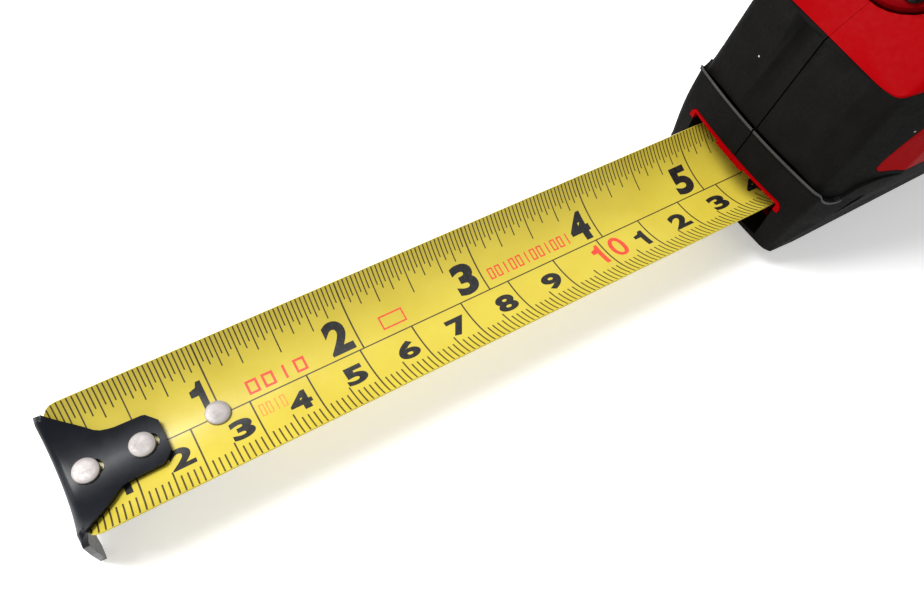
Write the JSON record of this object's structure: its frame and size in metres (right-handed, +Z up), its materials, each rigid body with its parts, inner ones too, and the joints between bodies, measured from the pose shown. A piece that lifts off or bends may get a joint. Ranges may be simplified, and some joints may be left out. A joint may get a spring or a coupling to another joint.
{
  "type": "tape measure",
  "caption": "Pocket tape measure with its curved steel blade drawn out of a rubber-skinned case, riveted end hook, thumb lock and belt clip.",
  "frame": {"origin": "centre of the case's base, on the blade's centre plane", "axes": "+Z up from the base, -X along the drawn-out blade towards the hook, +Y towards the belt clip"},
  "size_m": [0.2092, 0.0523, 0.071],
  "materials": {
    "red_plastic": "semi-gloss moulded ABS",
    "black_rubber": "matt textured thermoplastic rubber",
    "blade_yellow": "glossy clear-coated paint on spring steel",
    "black_steel": "glossy black finish on steel",
    "zinc_steel": "satin zinc plate",
    "spring_steel": "bare spring steel",
    "reel_plastic": "matt moulded plastic",
    "lock_plastic": "satin moulded ABS, dark red"
  },
  "bodies": {
    "case": {"right_shell": "red_plastic", "left_shell": "red_plastic", "right_overmould": "black_rubber", "left_overmould": "black_rubber", "spring_arbor": "zinc_steel", "arbor_screw": "zinc_steel", "belt_clip": "black_steel", "clip_screw": "zinc_steel", "detent_spring": "spring_steel", "case_screw_front": "zinc_steel", "case_screw_top": "zinc_steel", "case_screw_rear": "zinc_steel"},
    "blade": {"blade": "blade_yellow", "blade_backing": "spring_steel", "rivet_front": "zinc_steel", "rivet_middle": "zinc_steel", "rivet_rear": "zinc_steel"},
    "hook": {"hook": "black_steel"},
    "reel": {"reel_drum": "reel_plastic", "reel_cap": "reel_plastic", "blade_coil": "blade_yellow", "power_spring": "spring_steel"},
    "lock": {"lock_slider": "lock_plastic", "lock_grip": "black_rubber", "brake_pad": "black_rubber"}
  },
  "joints": [
    {"name": "blade_slide", "type": "slide", "parent": "case", "child": "blade", "axis": [1, 0, 0], "range_m": [0, 0.1285], "deforming": ["blade"]},
    {"name": "hook_play", "type": "slide", "parent": "blade", "child": "hook", "axis": [-1, 0, 0], "range_m": [0, 0.0012]},
    {"name": "reel_spin", "type": "hinge", "parent": "case", "child": "reel", "pos_m": [0.0064, 0, 0.0366], "axis": [0, 1, 0], "range_deg": [-271, 0], "deforming": ["power_spring"]},
    {"name": "lock_slide", "type": "slide", "parent": "case", "child": "lock", "axis": [0.7716, 0, 0.6361], "range_m": [0, 0.005]}
  ],
  "couplings": [
    {"joint": "reel_spin", "follows": "blade_slide", "rad_per_m": -36.765}
  ]
}
